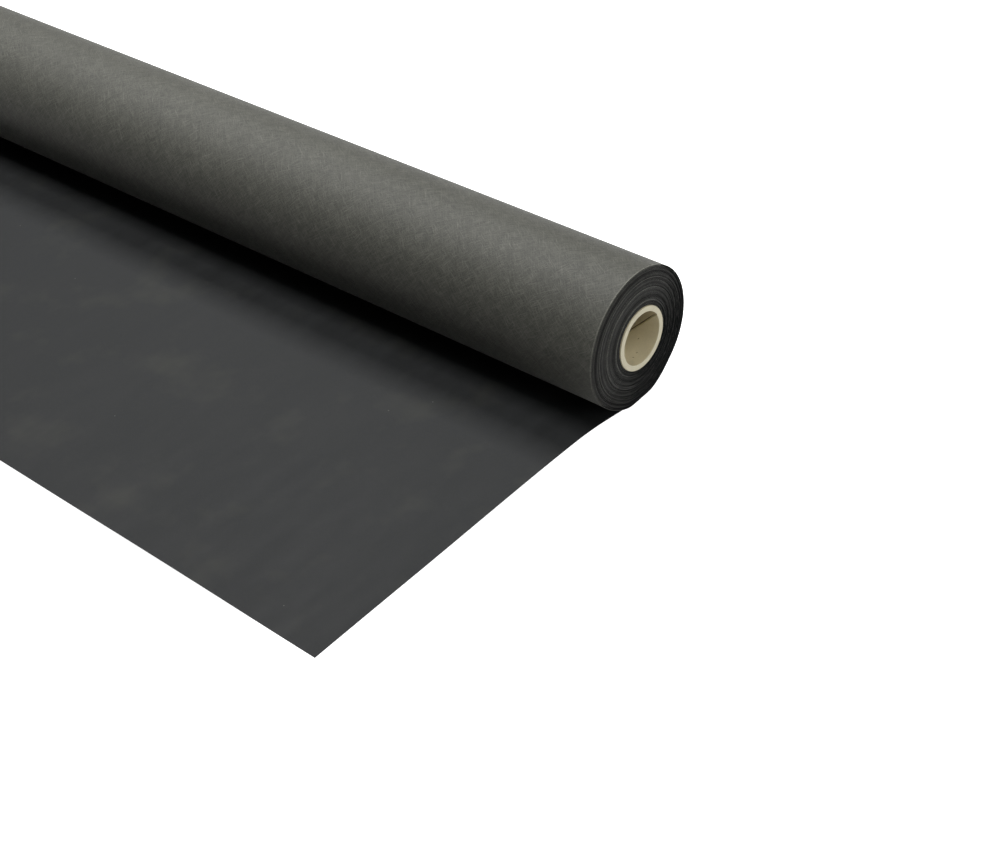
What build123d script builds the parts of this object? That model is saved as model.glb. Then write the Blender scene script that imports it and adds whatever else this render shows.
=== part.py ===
"""Roll of facade membrane: a wide thin sheet wound on a paperboard core, lying on
the floor with its outer end unrolled flat in front of it.

+X runs along the roll, +Z is up and the unrolled end points to -Y. The origin is
the middle of the whole footprint, on the floor. All sizes are in millimetres.
"""

from build123d import *
import os
from math import acos, degrees, pi

# The sheet
membrane_width = 1500.0
membrane_thickness = 0.5
tail_length = 605.0  # from the roll's line of contact with the floor to the cut end

# The winding
roll_diameter = 204.0

# The core
core_bore = 76.0
core_wall = 8.0
core_overhang = 5.0  # how far the core stands out of the winding at each end

roll_radius = roll_diameter / 2
core_outer_radius = core_bore / 2 + core_wall
core_length = membrane_width + 2 * core_overhang

# The footprint runs from the cut end to the back of the roll, and its middle is y = 0.
roll_axis_y = (tail_length - roll_radius) / 2
roll_axis_z = roll_radius
cut_end_y = roll_axis_y - tail_length


def membrane():
    """The whole sheet: the wound turns as one ring, and the flat end that leaves them.

    The flat end is tangent to the ring's lowest line, so the ring's outline is an arc
    from that line, round the back and the top, to where it meets the sheet's upper face.
    """
    meeting_angle = degrees(acos((roll_radius - membrane_thickness) / roll_radius))
    outer_turn = CenterArc(
        (roll_axis_y, roll_axis_z), roll_radius, start_angle=-90, arc_size=360 - meeting_angle
    )
    flat_end = Polyline(
        outer_turn @ 1,
        (cut_end_y, membrane_thickness),
        (cut_end_y, 0),
        outer_turn @ 0,
    )
    section = make_face(outer_turn + flat_end)
    section -= Pos(roll_axis_y, roll_axis_z) * Circle(core_outer_radius)
    return extrude(Plane.YZ * section, amount=membrane_width / 2, both=True)


def core_tube():
    """The paperboard tube that fills the winding's bore and stands out at both ends."""
    section = Circle(core_outer_radius) - Circle(core_bore / 2)
    section = Pos(roll_axis_y, roll_axis_z) * section
    return extrude(Plane.YZ * section, amount=core_length / 2, both=True)


os.makedirs("parts", exist_ok=True)
export_step(membrane(), "parts/membrane.step")
export_step(core_tube(), "parts/core_tube.step")

wound_section = pi * (roll_radius**2 - core_outer_radius**2)
sheet_length = wound_section / membrane_thickness + tail_length
print(f"the sheet is at most {sheet_length / 1000:.1f} m long, if wound with no air in it")
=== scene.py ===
"""Roll of facade membrane: a wide thin sheet wound on a paperboard core, with its outer end
unrolled flat on the floor. Everything is in metres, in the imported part's frame."""
import math

import bpy
import numpy as np
from mathutils import Matrix, Vector


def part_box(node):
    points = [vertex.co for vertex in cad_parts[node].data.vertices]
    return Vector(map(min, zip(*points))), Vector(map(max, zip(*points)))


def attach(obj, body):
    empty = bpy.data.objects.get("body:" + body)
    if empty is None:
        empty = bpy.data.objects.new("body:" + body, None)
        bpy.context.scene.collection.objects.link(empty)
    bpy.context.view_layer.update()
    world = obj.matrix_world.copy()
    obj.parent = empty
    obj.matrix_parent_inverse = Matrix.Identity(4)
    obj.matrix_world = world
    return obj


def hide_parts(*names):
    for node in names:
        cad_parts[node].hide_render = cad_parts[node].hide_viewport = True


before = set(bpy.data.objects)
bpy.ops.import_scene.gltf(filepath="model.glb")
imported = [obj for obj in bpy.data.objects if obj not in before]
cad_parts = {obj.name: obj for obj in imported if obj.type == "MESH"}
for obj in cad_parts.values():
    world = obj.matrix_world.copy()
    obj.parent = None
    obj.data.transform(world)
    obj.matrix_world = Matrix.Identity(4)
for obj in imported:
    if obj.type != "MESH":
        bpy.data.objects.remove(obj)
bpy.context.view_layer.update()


# ---------------------------------------------------------------------------------------------
# The core tube. Narrow strips of paperboard are glued one over another round a mandrel, in a
# spiral, and the tube is then sawn to length. The inner strip's two edges meet in a long open
# spiral seam down the bore, and the sawn ends show the pale pith of the board.

core_low, core_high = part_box("core_tube")
axis_y = (core_low.y + core_high.y) / 2
axis_z = (core_low.z + core_high.z) / 2
core_radius = (core_high.y - core_low.y) / 2
core_length = core_high.x - core_low.x
bore_radius = 0.038
seam_lead = 0.2315          # how far along the tube the seam goes in one turn
seam_at_end = math.radians(121)
seam_width = 0.0009
seam_depth = 0.0009


def seam_angle(x):
    """The seam's angle round the bore, from straight down towards +Y: it turns back once for each
    lead that it goes in from the +X end."""
    return seam_at_end - 2 * math.pi * (core_high.x - x) / seam_lead


def add_mesh(name, points, quads, finishes, finish_of, uv, sharp=35):
    """A smooth-shaded mesh from arrays: points (n, 3), quads (m, 4), each quad's finish, and each
    corner's place (m, 4, 2) in the flat pattern. Edges sharper than the angle stay crisp."""
    mesh = bpy.data.meshes.new(name)
    mesh.from_pydata(points.tolist(), [], quads.tolist())
    for finish in finishes:
        mesh.materials.append(finish)
    mesh.polygons.foreach_set("material_index", np.asarray(finish_of, dtype=np.int32))
    flat = mesh.uv_layers.new(name="pattern")
    flat.uv.foreach_set("vector", np.asarray(uv, dtype=np.float32).ravel())
    mesh.shade_smooth()
    mesh.set_sharp_from_angle(angle=math.radians(sharp))
    piece = bpy.data.objects.new(name, mesh)
    bpy.context.scene.collection.objects.link(piece)
    return piece


def core_wall():
    """The tube's wall as one closed ring of stations, each a turned outline.

    A point is (x, axis_y + r sin a, axis_z - r cos a). The stations run down the bore, over the
    sawn end, back along the outside and over the other end, and a = seam_angle(x) + q / bore
    radius, so that the columns of the grid follow the seam. In the bore, r grows by a rounded
    groove at q = 0, and by a shallow step on one side of it where the strip's edge is starved of
    glue and has sunk. The sawn ends are rounded at their two corners and a little uneven."""
    rounding = 0.0006
    around = 2 * math.pi * bore_radius
    near_seam = np.array([0, 0.15, 0.3, 0.45, 0.7, 1.2, 2.2]) * 1e-3
    q = np.concatenate([near_seam, np.linspace(0.0045, around - 0.0045, 84), around - near_seam[:0:-1]])
    half = core_length / 2
    inside_x = np.linspace(-half + 0.006, half - 0.006, 401)
    bore_x = np.concatenate([[-half + rounding, -half + 0.003], inside_x, [half - 0.003, half - rounding]])
    corner = np.radians([22.5, 45, 67.5])
    radial = np.linspace(bore_radius + rounding, core_radius - rounding, 9)
    turn_in = (half - rounding + rounding * np.sin(corner),
               bore_radius + rounding - rounding * np.cos(corner))
    turn_out = (half - rounding + rounding * np.cos(corner),
                core_radius - rounding + rounding * np.sin(corner))
    out_x = np.linspace(half - rounding, -half + rounding, 80)
    x = np.concatenate([bore_x, turn_in[0], np.full(9, half), turn_out[0], out_x,
                        -turn_out[0][::-1], np.full(9, -half), -turn_in[0][::-1]])
    r = np.concatenate([np.full(len(bore_x), bore_radius), turn_in[1], radial, turn_out[1],
                        np.full(len(out_x), core_radius),
                        turn_out[1][::-1], radial[::-1], turn_in[1][::-1]])
    n_bore, n_end = len(bore_x), 15
    twist = seam_angle(x)
    first, last = seam_angle(half), seam_angle(-half)
    spare = (last - first + math.pi) % (2 * math.pi) - math.pi
    on_outside = slice(n_bore + n_end, n_bore + n_end + len(out_x))
    twist[on_outside] = first + spare * np.linspace(0, 1, len(out_x))
    twist[on_outside.stop:] = first + spare

    angle = twist[:, None] + q[None, :] / bore_radius
    from_seam = np.minimum(q, around - q)
    groove = seam_depth * np.exp(-(from_seam / seam_width) ** 2)
    sunk = 0.0004 * np.exp(-q / 0.02) * (q > 0)
    in_bore = np.clip(1 - (r - bore_radius) / (2 * rounding), 0, 1)
    radius = r[:, None] + in_bore[:, None] * (groove + sunk)[None, :]
    uneven = 0.00012 * (np.sin(7 * angle + 1) + np.sin(19 * angle + r[:, None] * 900))
    at_end = (np.abs(x) > half - 1e-6)[:, None]
    points = np.stack([x[:, None] - np.sign(x)[:, None] * at_end * (0.00024 + uneven),
                       axis_y + radius * np.sin(angle), axis_z - radius * np.cos(angle)], axis=-1)

    rows, columns = angle.shape
    i, j = np.meshgrid(np.arange(rows), np.arange(columns), indexing="ij")
    ahead, beside = (i + 1) % rows, (j + 1) % columns
    quads = np.stack([i * columns + j, ahead * columns + j,
                      ahead * columns + beside, i * columns + beside], -1)
    q_wide = np.append(q, around)
    depth = np.append(x, x[0])
    uv = np.stack([np.stack([q_wide[j], depth[i]], -1), np.stack([q_wide[j], depth[i + 1]], -1),
                   np.stack([q_wide[j + 1], depth[i + 1]], -1), np.stack([q_wide[j + 1], depth[i]], -1)], 2)
    sawn = ((i >= n_bore - 1) & (i < n_bore + n_end)) | (i >= on_outside.stop - 1)
    return points.reshape(-1, 3), quads.reshape(-1, 4), sawn.ravel().astype(int), uv.reshape(-1, 4, 2)


def place(tree, kind, inputs=None, **settings):
    """Adds a node, gives it its settings, and sets each input or joins it to another's output."""
    node = tree.nodes.new("ShaderNode" + kind)
    for name, value in settings.items():
        setattr(node, name, value)
    for key, value in (inputs or {}).items():
        if isinstance(value, bpy.types.NodeSocket):
            tree.links.new(value, node.inputs[key])
        else:
            node.inputs[key].default_value = value
    return node


def new_effect(name, inputs, outputs):
    """An empty node group with its named inputs (kind, value) and outputs (kind)."""
    group = bpy.data.node_groups.new(name, "ShaderNodeTree")
    for key, (kind, value) in inputs.items():
        socket = group.interface.new_socket(key, in_out="INPUT", socket_type="NodeSocket" + kind)
        if value is not None:
            socket.default_value = value
    for key, kind in outputs.items():
        group.interface.new_socket(key, in_out="OUTPUT", socket_type="NodeSocket" + kind)
    return group, group.nodes.new("NodeGroupInput").outputs, group.nodes.new("NodeGroupOutput").inputs


def new_finish(name):
    """An empty material with its Principled shader joined to the output."""
    finish = bpy.data.materials.new(name)
    finish.use_nodes = True
    tree = finish.node_tree
    tree.nodes.clear()
    shader = place(tree, "BsdfPrincipled")
    place(tree, "OutputMaterial", {"Surface": shader.outputs["BSDF"]})
    return finish, tree, shader


def mottle_effect():
    """Cloudy unevenness: noise of two sizes, added as a shade round 1."""
    group, given, out = new_effect(
        "mottle",
        {"Vector": ("Vector", None), "Broad": ("Float", 8.0), "Fine": ("Float", 60.0),
         "Depth": ("Float", 0.1)},
        {"Shade": "Float"})
    broad = place(group, "TexNoise", {"Vector": given["Vector"], "Scale": given["Broad"], "Detail": 3.0,
                                      "Roughness": 0.55})
    fine = place(group, "TexNoise", {"Vector": given["Vector"], "Scale": given["Fine"], "Detail": 4.0,
                                     "Roughness": 0.6})
    both = place(group, "Math", {0: broad.outputs["Fac"], 1: fine.outputs["Fac"]}, operation="ADD")
    centred = place(group, "Math", {0: both.outputs[0], 1: 1.0}, operation="SUBTRACT")
    shade = place(group, "Math", {0: centred.outputs[0], 1: given["Depth"], 2: 1.0},
                  operation="MULTIPLY_ADD")
    group.links.new(shade.outputs[0], out["Shade"])
    return group


def speck_effect():
    """Sparse round specks: the near part of a few cells of a cell pattern, 0 or 1 with a soft rim."""
    group, given, out = new_effect(
        "specks",
        {"Vector": ("Vector", None), "Spacing": ("Float", 40.0), "Share": ("Float", 0.1),
         "Size": ("Float", 0.05)},
        {"Mask": "Float"})
    cells = place(group, "TexVoronoi", {"Vector": given["Vector"], "Scale": given["Spacing"]},
                  voronoi_dimensions="2D")
    chosen = place(group, "Math", {0: cells.outputs["Color"], 1: given["Share"]}, operation="LESS_THAN")
    rim = place(group, "Math", {0: given["Size"], 1: 0.5}, operation="MULTIPLY")
    near = place(group, "MapRange", {"Value": cells.outputs["Distance"], "From Min": given["Size"],
                                     "From Max": rim.outputs[0], "To Min": 0.0, "To Max": 1.0})
    mask = place(group, "Math", {0: chosen.outputs[0], 1: near.outputs[0]}, operation="MULTIPLY")
    group.links.new(mask.outputs[0], out["Mask"])
    return group


mottle = mottle_effect()
specks = speck_effect()


def tinted(tree, colour, shade):
    """The colour times a shade that changes over the surface."""
    return place(tree, "VectorMath", {0: colour, 1: shade}, operation="MULTIPLY").outputs[0]


def paper_liner():
    """Brown-grey kraft: cloudy, with long pulp fibres and a few dark specks. The open seam is
    nearly black, and on its sunk side a painted shade darkens the liner for three centimetres."""
    finish, tree, shader = new_finish("kraft_liner")
    flat = place(tree, "UVMap", uv_map="pattern")
    where = place(tree, "TexCoord").outputs["Object"]
    shade = place(tree, "Group", {"Vector": where, "Broad": 45.0, "Fine": 420.0, "Depth": 0.22},
                  node_tree=mottle)
    pulp = place(tree, "Mapping", {"Vector": where, "Scale": (60, 700, 700)})
    fibres = place(tree, "TexNoise", {"Vector": pulp.outputs[0], "Scale": 1.0, "Detail": 2.0})
    dots = place(tree, "Group", {"Vector": flat.outputs[0], "Spacing": 110.0, "Share": 0.30, "Size": 0.12},
                 node_tree=specks)
    # Painted shade along the seam: going away from the seam, the liner is nearly black on the seam line,
    # about half as light for the next two centimetres, and plain again by five.
    across = place(tree, "SeparateXYZ", {"Vector": flat.outputs[0]})
    seam_and_painted_shade = place(tree, "ValToRGB", {"Fac": place(tree, "Math", {0: across.outputs["X"], 1: 20.0},
                                                  operation="MULTIPLY").outputs[0]})
    ramp = seam_and_painted_shade.color_ramp
    ramp.elements[0].position = 0.0
    ramp.elements[0].color = (0.06, 0.05, 0.04, 1)
    ramp.elements[1].position = 1.0
    ramp.elements[1].color = (1, 1, 1, 1)
    for at, tone in ((0.026, (0.06, 0.05, 0.04, 1)), (0.034, (0.58, 0.55, 0.52, 1)),
                     (0.35, (0.54, 0.52, 0.49, 1)), (0.62, (0.86, 0.85, 0.84, 1))):
        ramp.elements.new(at).color = tone
    base = tinted(tree, (0.600, 0.530, 0.350), shade.outputs["Shade"])
    base = tinted(tree, base, seam_and_painted_shade.outputs["Color"])
    dotted = place(tree, "Mix", {"Factor": dots.outputs["Mask"], "A": base, "B": (0.09, 0.075, 0.05, 1)},
                   data_type="RGBA")
    tree.links.new(dotted.outputs[2], shader.inputs["Base Color"])
    shader.inputs["Roughness"].default_value = 0.82
    shader.inputs["Specular IOR Level"].default_value = 0.25
    bump = place(tree, "Bump", {"Height": fibres.outputs["Fac"], "Distance": 0.00012, "Strength": 0.6})
    tree.links.new(bump.outputs[0], shader.inputs["Normal"])
    return finish


def paper_cut():
    """The sawn end: pale pith in thin rings, one for each strip, a little furred by the saw."""
    finish, tree, shader = new_finish("sawn_paperboard")
    where = place(tree, "TexCoord").outputs["Object"]
    centred = place(tree, "Mapping", {"Vector": where, "Location": (0, -axis_y, -axis_z),
                                      "Scale": (0, 1, 1)})
    radius = place(tree, "VectorMath", {0: centred.outputs[0]}, operation="LENGTH")
    plies = place(tree, "TexNoise", {"W": radius.outputs["Value"], "Scale": 1500.0, "Detail": 2.0},
                  noise_dimensions="1D")
    shade = place(tree, "Group", {"Vector": where, "Broad": 130.0, "Fine": 900.0, "Depth": 0.14},
                  node_tree=mottle)
    lines = place(tree, "MapRange", {"Value": plies.outputs["Fac"], "From Min": 0.35, "From Max": 0.6,
                                     "To Min": 0.84, "To Max": 1.02})
    base = tinted(tree, (0.528, 0.492, 0.370), shade.outputs["Shade"])
    base = tinted(tree, base, lines.outputs[0])
    tree.links.new(base, shader.inputs["Base Color"])
    shader.inputs["Roughness"].default_value = 0.9
    shader.inputs["Specular IOR Level"].default_value = 0.2
    grain = place(tree, "TexNoise", {"Vector": where, "Scale": 1400.0, "Detail": 3.0})
    rough = place(tree, "Bump", {"Height": grain.outputs["Fac"], "Distance": 0.0002, "Strength": 0.6})
    tree.links.new(rough.outputs[0], shader.inputs["Normal"])
    return finish


points, quads, sawn, uv = core_wall()
core = add_mesh("core_spiral_tube", points, quads, [paper_liner(), paper_cut()], sawn, uv)
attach(core, "root")
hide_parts("core_tube")


# ---------------------------------------------------------------------------------------------
# The wound turns. The membrane is a thin film with a fleece bonded to it, and about fifty
# metres of it are wound tight on the core with the fleece outwards. Its cut edges make the
# ends of the roll: each turn lies a little in or out of line with the next.

sheet_low, sheet_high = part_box("membrane")
sheet_width = sheet_high.x - sheet_low.x
thickness = 0.0005
outer_radius = (sheet_high.z - sheet_low.z) / 2
turns = 103
steps = 120                    # straight pieces in one turn
slack = [(0.93, 0.14, 1.80), (1.93, 0.14, 1.20), (14.2, 0.9, 0.09), (28.0, 0.7, 0.12),
         (55.6, 0.8, 0.14), (70.2, 0.9, 0.08), (89.5, 0.7, 0.12)]   # turn, turns it takes, mm
line_outer = outer_radius - thickness / 2
line_inner = core_radius + 0.00005 + thickness / 2
pitch = (line_outer - line_inner - sum(s[2] for s in slack) * 1e-3) / turns
foot_bulge = 0.0215            # the most that the foot spreads, as a share of the radius
sideways = 0.002               # how far the outer turns have slumped towards the unrolled end


def ease(t):
    """0 up to t = 0, 1 from t = 1, and 3t^2 - 2t^3 between."""
    t = np.clip(t, 0, 1)
    return t * t * (3 - 2 * t)


def wound_line(turn):
    """(y, z) of the middle of the sheet, a number of turns inwards from where it leaves the floor.

    The angle is 360 degrees times the turn, from straight down towards +Y. The radius is the
    outer one less a pitch for each turn and the slack met so far. Under the roll its weight
    closes the slack. It also flattens the foot: there the radius is divided by the cosine of the
    angle from straight down, until that reaches the bulge, which fades out by 38 degrees. Both
    fade towards the core, and so does the sideways slump."""
    angle = 2 * np.pi * turn
    from_down = np.abs((np.degrees(angle) + 180) % 360 - 180)
    opened = sum(size * 1e-3 * ease((turn - at) / over) for at, over, size in slack)
    outward = np.clip(1 - turn / turns, 0, 1)
    closed = np.exp(-(from_down / 32) ** 2) * outward
    radius = line_outer - pitch * turn - opened * (1 - closed)
    share = np.clip((radius - line_inner) / (line_outer - line_inner), 0, 1)
    flat = 1 / np.cos(np.radians(np.minimum(from_down, 80))) - 1
    fade = foot_bulge * (0.5 + 0.5 * np.cos(np.pi * np.clip((from_down - 13) / 26, 0, 1)))
    grown = flat * fade / (flat ** 5 + fade ** 5 + 1e-30) ** 0.2
    radius = radius * (1 + grown * share ** 1.6)
    return axis_y - sideways * share ** 1.5 + radius * np.sin(angle), axis_z - radius * np.cos(angle)


def smooth_random(seed, at, every):
    """Random heights from -1 to 1, one for each length `every`, joined by eased curves."""
    heights = np.random.default_rng(seed).uniform(-1, 1, int(np.max(at) / every) + 3)
    cell = np.floor(at / every).astype(int)
    t = ease(at / every - cell)
    return heights[cell] * (1 - t) + heights[cell + 1] * t


raised = (27.3, 54.6, 88.8)     # turns that slipped out and stand proud; a painted highlight on their edges shows them as light rings


def stand_out(turn):
    """How far a turn's edges lie towards +X of their nominal place, in metres: a shallow cone that
    stands out towards the core, runs of 5 to 13 turns that creep out and then drop back, a quick
    wandering, the few turns that slipped, and the second and third turns pushed well in."""
    inward = np.clip((turn - 1) / turns, 0, 1)
    rng = np.random.default_rng(42)
    start = np.concatenate([[2.0], 2 + np.cumsum(rng.uniform(5, 13, 30))])
    knots = np.stack([start[:-1], start[1:] - 0.5], -1).ravel()
    creep = (rng.uniform(1.0, 2.4, 30)[:, None] * np.array([-0.5, 0.5])).ravel()
    loose = np.interp(turn, knots, creep) + 0.30 * smooth_random(5, turn, 0.9)
    out = 3.4 * inward ** 1.1 + loose * ease((turn - 2) / 4)
    out = out - 2.2 * ease((turn - 1.85) / 0.3) * np.exp(-((turn - 2.15) / 3.5) ** 2)
    for at in raised:
        out = out + 1.1 * np.exp(-((turn - at) / 0.8) ** 2)
    return out * 1e-3


def ring_tone(turn):
    """How light a turn's edge is: slow and quick random steps round 1, with a painted highlight where it
    slipped out and stands proud, and on the winding's first turn.
    """
    tone = 1 + 0.65 * smooth_random(31, turn, 1.9) + 0.35 * smooth_random(37, turn, 6.0)
    # Painted highlight on the edges of the turns that slipped out.
    for at in raised:
        tone = tone + 1.5 * np.exp(-((turn - at) / 1.3) ** 2)
    # Painted highlight: the edge of the winding's first turn, next to the outer end, is made 1.2 lighter.
    return np.clip(tone, 0.3, 3) + 1.2 * (turn < 1.9)


def wound_turns():
    """One closed solid with the spiral sheet's edges on both its ends.

    Along the spiral each step has three points at each end: the sheet's outer corner, its inner
    corner, and the bottom of the narrow gap between it and the next turn, which is 2 mm deeper
    than the lower of the two. The outside of the first turn and the inside of the last one join
    the two ends."""
    count = (turns - 1) * steps
    turn = 1 + np.arange(count + 1) / steps
    y, z = wound_line(turn)
    ty, tz = np.gradient(y), np.gradient(z)
    size = np.hypot(ty, tz)
    ny, nz = tz / size, -ty / size
    half = 0.00047 / 2
    lean = 0.00022             # the fleece is cut back behind the film
    rng = np.random.default_rng(11)
    frayed = rng.normal(0, 0.00006, (2, count + 1)) + 0.00008 * smooth_random(7, turn * 40, 1.0)
    out = stand_out(turn)
    deep = 0.002
    inside = slice(0, count + 1 - steps)
    gap_turn = turn[inside]
    ends = []
    for side in (1, -1):
        edge = side * sheet_width / 2 + out
        outer = np.stack([edge + frayed[0] - side * lean, y + ny * half, z + nz * half], -1)
        inner = np.stack([edge + frayed[1], y - ny * half, z - nz * half], -1)
        gap = (inner[inside] + outer[steps:]) / 2
        gap[:, 0] = side * np.minimum(side * edge[inside], side * edge[steps:]) - side * deep
        ends.append(np.concatenate([outer, inner, gap]))
    points = np.concatenate(ends)

    one = 2 * (count + 1) + (count + 1 - steps)
    i = np.arange(count)
    k = np.arange(count - steps)
    outer, inner, gap = 0, count + 1, 2 * (count + 1)
    along = np.concatenate([[0], np.cumsum(np.hypot(np.diff(y), np.diff(z)))])
    quads, finish_of, uv = [], [], []

    def strip(a, b, c, d, finish, where):
        """Adds the quads a b c d, turned round where they belong to the other end."""
        quads.append(np.stack([a, b, c, d], -1))
        finish_of.append(np.full(len(a), finish))
        uv.append(np.stack([np.stack([along[w], points[p, 0] + sheet_width], -1)
                            for w, p in zip(where, (a, b, c, d))], 1))

    for end in (0, one):
        for a, b, c, d, finish, w in (
                (outer + i, outer + i + 1, inner + i + 1, inner + i, 2, (i, i + 1, i + 1, i)),
                (inner + k, inner + k + 1, gap + k + 1, gap + k, 1, (k, k + 1, k + 1, k)),
                (gap + k, gap + k + 1, outer + k + 1 + steps, outer + k + steps, 0,
                 (k + steps, k + steps + 1, k + steps + 1, k + steps))):
            if end == 0:
                strip(a, b, c, d, finish, w)
            else:
                strip(d + end, c + end, b + end, a + end, finish, w[::-1])
    first = np.arange(steps)
    last = count - steps + np.arange(steps)
    strip(one + first, one + first + 1, first + 1, first, 0, (first, first + 1, first + 1, first))
    strip(inner + last, inner + last + 1, one + inner + last + 1, one + inner + last, 1,
          (last, last + 1, last + 1, last))
    zero, end = np.array([0]), np.array([count])
    for p, r in ((outer, inner), (inner, gap), (gap, outer + steps)):
        strip(zero + p, zero + r, zero + r + one, zero + p + one, 2, (zero, zero, zero, zero))
    tail = count - steps
    for p, r in ((inner + tail, gap + tail), (gap + tail, outer + count), (outer + count, inner + count)):
        strip(zero + p + one, zero + r + one, zero + r, zero + p, 2, (end, end, end, end))
    tone = np.concatenate([ring_tone(turn), ring_tone(turn), np.ones(len(gap_turn))] * 2)
    return points, np.concatenate(quads), np.concatenate(finish_of), np.concatenate(uv), tone


def fibre_effect():
    """A spunbonded web: fibres that cross at four angles, each set a noise stretched along its own
    direction, and the brightest of them on top. Width and length are in metres."""
    group, given, out = new_effect(
        "fibres",
        {"Vector": ("Vector", None), "Width": ("Float", 0.001), "Length": ("Float", 0.02)},
        {"Height": "Float"})
    fine = place(group, "Math", {0: 1.0, 1: given["Width"]}, operation="DIVIDE")
    long = place(group, "Math", {0: 1.0, 1: given["Length"]}, operation="DIVIDE")
    stretch = place(group, "CombineXYZ", {"X": long.outputs[0], "Y": fine.outputs[0], "Z": 1.0})
    top = None
    for number, degrees in enumerate((35, -40, 57, -60)):
        turned = place(group, "VectorRotate", {"Vector": given["Vector"], "Angle": math.radians(degrees)},
                       rotation_type="Z_AXIS")
        drawn = place(group, "VectorMath", {0: turned.outputs[0], 1: stretch.outputs[0]},
                      operation="MULTIPLY")
        apart = (17.3 * number, 5.1 * number, 0)
        moved = place(group, "VectorMath", {0: drawn.outputs[0], 1: apart},
                      operation="ADD")
        web = place(group, "TexNoise", {"Vector": moved.outputs[0], "Scale": 1.0, "Detail": 1.0},
                    noise_dimensions="2D")
        if top is None:
            top = web.outputs["Fac"]
        else:
            top = place(group, "Math", {0: top, 1: web.outputs["Fac"]}, operation="MAXIMUM").outputs[0]
    group.links.new(top, out["Height"])
    return group


fibres = fibre_effect()


def fleece_finish():
    """The fleece: olive-grey spunbonded fibres, matte, cloudy where the web is thinner, with the
    darker film just showing through between the fibres."""
    finish, tree, shader = new_finish("fleece")
    flat = place(tree, "UVMap", uv_map="pattern").outputs[0]
    shade = place(tree, "Group", {"Vector": flat, "Broad": 9.0, "Fine": 46.0, "Depth": 0.26},
                  node_tree=mottle)
    bundles = place(tree, "Group", {"Vector": flat, "Width": 0.0018, "Length": 0.026}, node_tree=fibres)
    threads = place(tree, "Group", {"Vector": flat, "Width": 0.0008, "Length": 0.020}, node_tree=fibres)
    strays = place(tree, "Group", {"Vector": flat, "Width": 0.0016, "Length": 0.060}, node_tree=fibres)
    coarse = place(tree, "MapRange", {"Value": bundles.outputs[0], "From Min": 0.5, "From Max": 0.75,
                                      "To Min": 0.84, "To Max": 1.20})
    stray = place(tree, "MapRange", {"Value": strays.outputs[0], "From Min": 0.71, "From Max": 0.78,
                                     "To Min": 1.0, "To Max": 1.35})
    thin = place(tree, "MapRange", {"Value": threads.outputs[0], "From Min": 0.5, "From Max": 0.75,
                                    "To Min": 0.66, "To Max": 1.36})
    base = tinted(tree, (0.0640, 0.0640, 0.0535), shade.outputs["Shade"])
    base = tinted(tree, base, coarse.outputs[0])
    base = tinted(tree, base, stray.outputs[0])
    base = tinted(tree, base, thin.outputs[0])
    base = tinted(tree, base, place(tree, "Attribute", attribute_name="tone").outputs["Fac"])
    tree.links.new(base, shader.inputs["Base Color"])
    shader.inputs["Roughness"].default_value = 0.58
    shader.inputs["Specular IOR Level"].default_value = 0.34
    shader.inputs["Sheen Weight"].default_value = 0.14
    shader.inputs["Sheen Roughness"].default_value = 0.4
    both = place(tree, "Math", {0: bundles.outputs[0], 1: 0.35, 2: threads.outputs[0]},
                 operation="MULTIPLY_ADD")
    bump = place(tree, "Bump", {"Height": both.outputs[0], "Distance": 0.0006, "Strength": 0.7})
    tree.links.new(bump.outputs[0], shader.inputs["Normal"])
    return finish


def film_finish():
    """The film: dark neutral grey, smooth but not glossy, faintly streaked along the sheet, with
    the fleece's fibres barely showing through, a few dull smudges and pale specks of dust."""
    finish, tree, shader = new_finish("film")
    flat = place(tree, "UVMap", uv_map="pattern").outputs[0]
    drawn = place(tree, "Mapping", {"Vector": flat, "Scale": (0.30, 1, 1)}).outputs[0]
    shade = place(tree, "Group", {"Vector": drawn, "Broad": 9.0, "Fine": 46.0, "Depth": 0.60},
                  node_tree=mottle)
    smudges = place(tree, "TexNoise", {"Vector": flat, "Scale": 8.5, "Detail": 3.0, "Roughness": 0.6})
    smudge = place(tree, "MapRange", {"Value": smudges.outputs["Fac"], "From Min": 0.54, "From Max": 0.76,
                                      "To Min": 0.0, "To Max": 0.55})
    dust = place(tree, "Group", {"Vector": flat, "Spacing": 26.0, "Share": 0.12, "Size": 0.028},
                 node_tree=specks)
    web = place(tree, "Group", {"Vector": flat, "Width": 0.0009, "Length": 0.012}, node_tree=fibres)
    thin = place(tree, "MapRange", {"Value": web.outputs[0], "From Min": 0.5, "From Max": 0.75,
                                    "To Min": 0.94, "To Max": 1.06})
    base = tinted(tree, (0.0164, 0.0174, 0.0179), shade.outputs["Shade"])
    base = tinted(tree, base, thin.outputs[0])
    smudged = place(tree, "Mix", {"Factor": smudge.outputs[0], "A": base,
                                  "B": (0.0350, 0.0355, 0.0295, 1)},
                    data_type="RGBA")
    dusty = place(tree, "Mix", {"Factor": dust.outputs["Mask"], "A": smudged.outputs[2],
                                "B": (0.085, 0.085, 0.078, 1)}, data_type="RGBA")
    tree.links.new(dusty.outputs[2], shader.inputs["Base Color"])
    rough = place(tree, "MapRange", {"Value": shade.outputs["Shade"], "From Min": 0.85, "From Max": 1.15,
                                     "To Min": 0.52, "To Max": 0.64})
    tree.links.new(rough.outputs[0], shader.inputs["Roughness"])
    shader.inputs["Specular IOR Level"].default_value = 0.19
    bump = place(tree, "Bump", {"Height": web.outputs[0], "Distance": 0.0001, "Strength": 0.4})
    tree.links.new(bump.outputs[0], shader.inputs["Normal"])
    return finish


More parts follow.
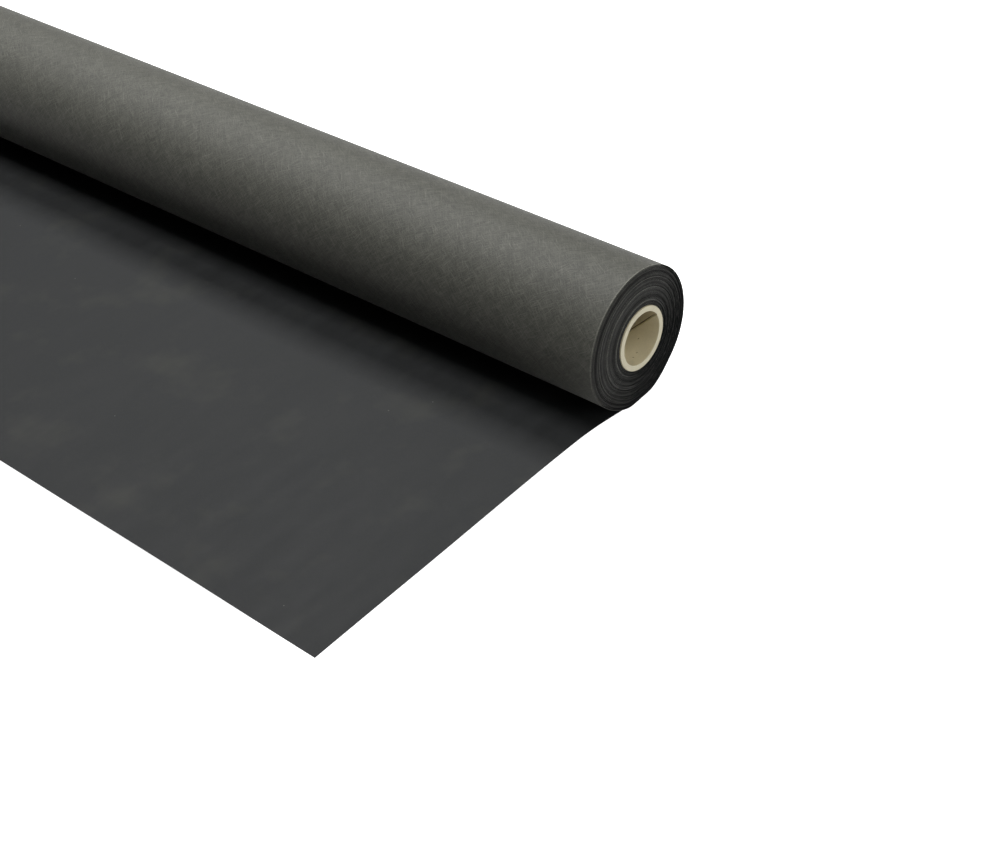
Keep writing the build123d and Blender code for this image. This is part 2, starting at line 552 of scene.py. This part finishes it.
def edge_finish():
    """The slit edge: film and fleece seen edge on, dull grey, lighter or darker turn by turn where
    the knife has pulled fibres out or pressed them down."""
    finish, tree, shader = new_finish("slit_edge")
    where = place(tree, "TexCoord").outputs["Object"]
    tone = place(tree, "Attribute", attribute_name="tone")
    shade = place(tree, "Group", {"Vector": where, "Broad": 60.0, "Fine": 600.0, "Depth": 0.8},
                  node_tree=mottle)
    base = tinted(tree, (0.0300, 0.0300, 0.0285), shade.outputs["Shade"])
    base = tinted(tree, base, tone.outputs["Fac"])
    tree.links.new(base, shader.inputs["Base Color"])
    shader.inputs["Roughness"].default_value = 0.8
    shader.inputs["Specular IOR Level"].default_value = 0.12
    grain = place(tree, "TexNoise", {"Vector": where, "Scale": 2200.0, "Detail": 2.0})
    bump = place(tree, "Bump", {"Height": grain.outputs["Fac"], "Distance": 0.0002, "Strength": 0.5})
    tree.links.new(bump.outputs[0], shader.inputs["Normal"])
    return finish


sheet_finishes = [fleece_finish(), film_finish(), edge_finish()]
points, quads, finish_of, uv, tone = wound_turns()
winding = add_mesh("membrane_turns", points, quads, sheet_finishes, finish_of, uv)
winding.data.attributes.new("tone", "FLOAT", "POINT").data.foreach_set("value", tone)
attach(winding, "root")
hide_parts("membrane")


# ---------------------------------------------------------------------------------------------
# The outer end. The last turn of the same sheet, a little loose on the others, and the length
# that has been pulled out on the floor with the film upwards. It was pulled slightly askew, so
# it lies turned by about a degree and has slid along the roll where it leaves it.

unrolled = axis_y - sheet_low.y
askew = 0.0203


def slid(distance):
    """How far the unrolled sheet lies towards -X, at a distance from where it leaves the roll: a
    small start, an eased slide in the first hand's breadth, and then the skew."""
    return 0.0027 + 0.0112 * (1 - np.exp(-(distance / 0.066) ** 2.1)) + askew * distance


def outer_end():
    """Middle of the sheet and its two faces, on a grid of rows along it and columns across.

    The first rows run over the floor from the cut end to the roll: x is the column's place less
    the slide, y counts back from the line of contact, and z is half the thickness and a gentle
    swell, the sum of a few long waves. The others follow the first turn of the winding. Each face
    is half a thickness away along the grid's own normal. The tone puts a painted highlight on the
    slit edges on the roll, where the fleece is fluffed up and catches the light, and darkens those
    on the floor."""
    distance = np.concatenate([np.linspace(unrolled, 0.13, 48), np.linspace(0.13, 0, 27)[1:]])
    turn = np.arange(1, steps + 1) / steps
    columns = np.linspace(-0.5, 0.5, 101) * sheet_width
    hem = 0.0018               # as far in as the edge tone reaches: the painted highlight on the roll, the darkening on the floor
    columns = np.concatenate([columns[:1], [columns[0] + hem], columns[1:-1],
                              [columns[-1] - hem], columns[-1:]])
    y0, z0 = wound_line(np.array([0.0]))

    askew_length = unrolled - askew * (sheet_width / 2 - columns)
    d = distance[:, None] * (askew_length / unrolled)[None, :]
    swell = np.zeros_like(d)
    rng = np.random.default_rng(21)
    for length in (0.9, 0.62, 0.47, 0.33, 0.24, 0.17):
        way, phase = rng.uniform(-1.1, 1.1), rng.uniform(0, 2 * np.pi)
        ahead = columns[None, :] * np.cos(way) + d * np.sin(way)
        swell += length ** 1.1 * np.sin(2 * np.pi * ahead / length + phase)
    swell = 0.0006 * (swell - swell.min()) * ease((d - 0.05) / 0.16)
    floor_part = np.stack([columns[None, :] - slid(d), y0[0] - d, z0[0] + swell], -1)

    y, z = wound_line(turn)
    edge = -slid(0) * (1 - ease(turn / 0.22)) + stand_out(np.full(steps, 1.0)) * ease(turn) ** 4
    roll_part = np.stack(np.broadcast_arrays(columns[None, :] + edge[:, None], y[:, None], z[:, None]), -1)
    middle = np.concatenate([floor_part, roll_part])

    along, across = np.gradient(middle, axis=0), np.gradient(middle, axis=1)
    normal = np.cross(along, across)
    normal /= np.linalg.norm(normal, axis=-1, keepdims=True)
    rows, wide = middle.shape[:2]
    points = np.concatenate([(middle + normal * thickness / 2).reshape(-1, 3),
                             (middle - normal * thickness / 2).reshape(-1, 3)])
    points[:, 2] = np.maximum(points[:, 2], 0)

    length = np.concatenate([[0], np.cumsum(np.linalg.norm(np.diff(middle[:, -1], axis=0), axis=-1))])
    place_on = np.stack(np.broadcast_arrays(length[:, None], columns[None, :] + sheet_width), -1)
    place_on = place_on.reshape(-1, 2)
    place_on = np.concatenate([place_on, place_on])
    under = rows * wide
    i, j = np.meshgrid(np.arange(rows - 1), np.arange(wide - 1), indexing="ij")
    corner = (i * wide + j).ravel()
    fleece = np.stack([corner, corner + wide, corner + wide + 1, corner + 1], -1)
    film = fleece[:, ::-1] + under
    i = np.arange(rows - 1) * wide
    j = np.arange(wide - 1)
    low = np.stack([i, i + under, i + under + wide, i + wide], -1)
    high = np.stack([i, i + wide, i + under + wide, i + under], -1) + wide - 1
    cut = np.stack([j, j + 1, j + 1 + under, j + under], -1)
    closing = np.stack([j, j + under, j + 1 + under, j + 1], -1) + (rows - 1) * wide
    quads = np.concatenate([fleece, film, low, high, cut, closing])
    edges = len(low) + len(high) + len(cut) + len(closing)
    finish_of = np.repeat([0, 1, 2], [len(fleece), len(film), edges])
    tone = np.ones((rows, wide))
    # Painted highlight on the slit edges on the roll, fading in over the first tenth of the turn up to 2.6;
    # the slit edges on the floor and at the cut end are darkened to 0.25.
    tone[:, [0, -1]] = np.concatenate([np.full(len(distance), 0.25), 0.25 + 2.35 * ease(turn / 0.1)])[:, None]
    tone[0] = 0.25
    tone = np.tile(tone.ravel(), 2)
    return points, quads, finish_of, place_on[quads], tone


points, quads, finish_of, uv, tone = outer_end()
end_piece = add_mesh("membrane_outer_end", points, quads, sheet_finishes, finish_of, uv)
end_piece.data.attributes.new("tone", "FLOAT", "POINT").data.foreach_set("value", tone)
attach(end_piece, "root")
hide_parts("membrane")


# ---------------------------------------------------------------------------------------------
# The studio. A plain white floor, two long soft lights overhead, one over the roll's front and
# one behind it, and a small one and an upright one for its end. The floor and the surround are a
# little overexposed to the camera alone, as on a white sweep.

def floor_sheet():
    """A flat round floor, 12 m across, as a fan of quads from a small ring to the rim."""
    ring = np.array([0.001, 0.4, 0.9, 1.8, 3.5, 6.0])
    turned = np.linspace(0, 2 * np.pi, 65)[:-1]
    points = np.stack([ring[:, None] * np.cos(turned), ring[:, None] * np.sin(turned),
                       np.full((len(ring), 64), -0.0002)], -1).reshape(-1, 3)
    i, j = np.meshgrid(np.arange(len(ring) - 1), np.arange(64), indexing="ij")
    beside = (j + 1) % 64
    quads = np.stack([i * 64 + j, (i + 1) * 64 + j, (i + 1) * 64 + beside, i * 64 + beside], -1)
    quads = quads.reshape(-1, 4)
    return points, quads, np.zeros(len(quads), dtype=int), points[quads][..., :2]


floor_finish, tree, shader = new_finish("floor_paint")
shader.inputs["Base Color"].default_value = (0.72, 0.72, 0.72, 1)
shader.inputs["Emission Color"].default_value = (1, 1, 1, 1)
overexposed = place(tree, "MapRange", {"Value": place(tree, "LightPath").outputs["Is Camera Ray"],
                                       "To Min": 0.0, "To Max": 0.95})
tree.links.new(overexposed.outputs[0], shader.inputs["Emission Strength"])
shader.inputs["Roughness"].default_value = 0.95
shader.inputs["Specular IOR Level"].default_value = 0.1
points, quads, finish_of, uv = floor_sheet()
floor = add_mesh("floor", points, quads, [floor_finish], finish_of, uv)

# name, size, place, turn about Y, watts
for name, size, at, turned, watts in (
        ("front_strip", (3.6, 0.8), (-0.9, -0.02, 2.3), 0, 54),
        ("rear_strip", (3.6, 0.8), (-0.9, 1.20, 2.3), 0, 72),
        ("end_strip", (1.0, 2.0), (1.9, 0.30, 2.3), 0, 14),
        ("end_panel", (1.6, 2.0), (3.2, 0.35, 1.1), math.pi / 2, 44)):
    light = bpy.data.lights.new(name, "AREA")
    light.shape = "RECTANGLE"
    light.size, light.size_y = size
    light.energy = watts
    lamp = bpy.data.objects.new(name, light)
    lamp.location = at
    lamp.rotation_euler = (0, turned, 0)
    bpy.context.scene.collection.objects.link(lamp)

surround = bpy.data.worlds.new("surround")
surround.use_nodes = True
tree = surround.node_tree
sky = tree.nodes["Background"]
seen = place(tree, "LightPath").outputs["Is Camera Ray"]
strength = place(tree, "MapRange", {"Value": seen, "To Min": 0.02, "To Max": 0.92})
tree.links.new(strength.outputs[0], sky.inputs["Strength"])
sky.inputs["Color"].default_value = (1, 1, 1, 1)
bpy.context.scene.world = surround
bpy.context.scene.view_settings.view_transform = "Standard"

heading, pitch_down, roll_over = math.radians(43.967), math.radians(39.319), math.radians(-6.166)
towards = Vector((-math.sin(heading) * math.cos(pitch_down), math.cos(heading) * math.cos(pitch_down),
                  -math.sin(pitch_down)))
lens = bpy.data.cameras.new("camera")
lens.sensor_fit = "HORIZONTAL"
lens.sensor_width = 36
lens.lens = 69.484
lens.clip_start, lens.clip_end = 0.1, 50
camera = bpy.data.objects.new("camera", lens)
camera.matrix_world = (Matrix.Translation((2.0123, -1.3365, 1.6335))
                       @ towards.to_track_quat("-Z", "Y").to_matrix().to_4x4()
                       @ Matrix.Rotation(roll_over, 4, "Z"))
bpy.context.scene.collection.objects.link(camera)
bpy.context.scene.camera = camera
